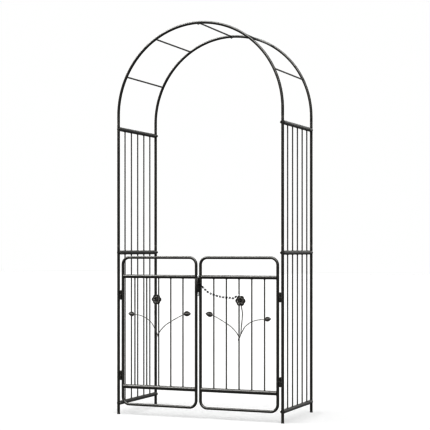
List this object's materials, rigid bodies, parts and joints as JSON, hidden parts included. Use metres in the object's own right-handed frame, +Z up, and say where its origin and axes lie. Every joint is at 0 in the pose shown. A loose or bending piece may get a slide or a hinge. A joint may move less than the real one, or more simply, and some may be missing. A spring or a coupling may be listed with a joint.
{
  "type": "garden arch with gate",
  "caption": "Round-topped metal garden arch on four posts with laddered sides and a two-leaf gate on lift-off hinges, closed by a drop pin on a chain.",
  "frame": {"origin": "middle of the footprint, on the ground", "axes": "+Z up, +X across the passage to the right seen from the gate side, +Y through the passage from the gate side to the open side"},
  "size_m": [1.0094, 0.5154, 2.1963],
  "materials": {
    "black_coat": "satin black powder coat on steel tube, slightly textured, rubbed lighter at ends and edges",
    "ornament_metal": "black-brown coated pressed steel, edges rubbed lighter",
    "zinc_plate": "bright zinc plating, lightly brushed and cloudy",
    "chain_metal": "darkened zinc links, some rubbed brighter",
    "foot_plastic": "matt black moulded plastic"
  },
  "bodies": {
    "arch": {"foot_cap_front_left": "foot_plastic", "post_lower_front_left": "black_coat", "post_upper_front_left": "black_coat", "crown_arc_front_left": "black_coat", "foot_cap_front_right": "foot_plastic", "post_lower_front_right": "black_coat", "post_upper_front_right": "black_coat", "crown_arc_front_right": "black_coat", "apex_bolt_front": "zinc_plate", "foot_cap_back_left": "foot_plastic", "post_lower_back_left": "black_coat", "post_upper_back_left": "black_coat", "crown_arc_back_left": "black_coat", "foot_cap_back_right": "foot_plastic", "post_lower_back_right": "black_coat", "post_upper_back_right": "black_coat", "crown_arc_back_right": "black_coat", "apex_bolt_back": "zinc_plate", "crown_rung_1": "black_coat", "crown_rung_2": "black_coat", "crown_rung_3": "black_coat", "crown_rung_4": "black_coat", "crown_rung_5": "black_coat", "side_panel_lower_left": "black_coat", "side_panel_upper_left": "black_coat", "side_panel_lower_right": "black_coat", "side_panel_upper_right": "black_coat", "hinge_pintle_upper_left": "black_coat", "hinge_pintle_lower_left": "black_coat", "hinge_pintle_upper_right": "black_coat", "hinge_pintle_lower_right": "black_coat"},
    "gate_left": {"gate_frame_left": "black_coat", "gate_rail_upper_left": "black_coat", "gate_rail_lower_left": "black_coat", "baluster_left_1": "black_coat", "baluster_left_2": "black_coat", "baluster_left_3": "black_coat", "baluster_left_4": "black_coat", "baluster_left_5": "black_coat", "rose_left": "ornament_metal", "spray_left": "ornament_metal", "hinge_knuckle_upper_left": "black_coat", "hinge_knuckle_lower_left": "black_coat", "latch_keeper": "black_coat"},
    "gate_right": {"gate_frame_right": "black_coat", "gate_rail_upper_right": "black_coat", "gate_rail_lower_right": "black_coat", "baluster_right_1": "black_coat", "baluster_right_2": "black_coat", "baluster_right_3": "black_coat", "baluster_right_4": "black_coat", "baluster_right_5": "black_coat", "rose_right": "ornament_metal", "spray_right": "ornament_metal", "hinge_knuckle_upper_right": "black_coat", "hinge_knuckle_lower_right": "black_coat", "latch_sleeve": "black_coat", "latch_chain": "chain_metal", "chain_ring": "chain_metal"},
    "latch_pin": {"latch_pin": "zinc_plate"}
  },
  "joints": [
    {"name": "gate_left_swing", "type": "hinge", "parent": "arch", "child": "gate_left", "pos_m": [-0.47975, -0.24125, 0.45], "axis": [0, 0, -1], "range_deg": [-80, 100]},
    {"name": "gate_right_swing", "type": "hinge", "parent": "arch", "child": "gate_right", "pos_m": [0.47975, -0.24125, 0.45], "axis": [0, 0, 1], "range_deg": [-80, 100]},
    {"name": "latch_pin_lift", "type": "slide", "parent": "gate_right", "child": "latch_pin", "axis": [0, 0, 1], "range_m": [0, 0.038]}
  ]
}
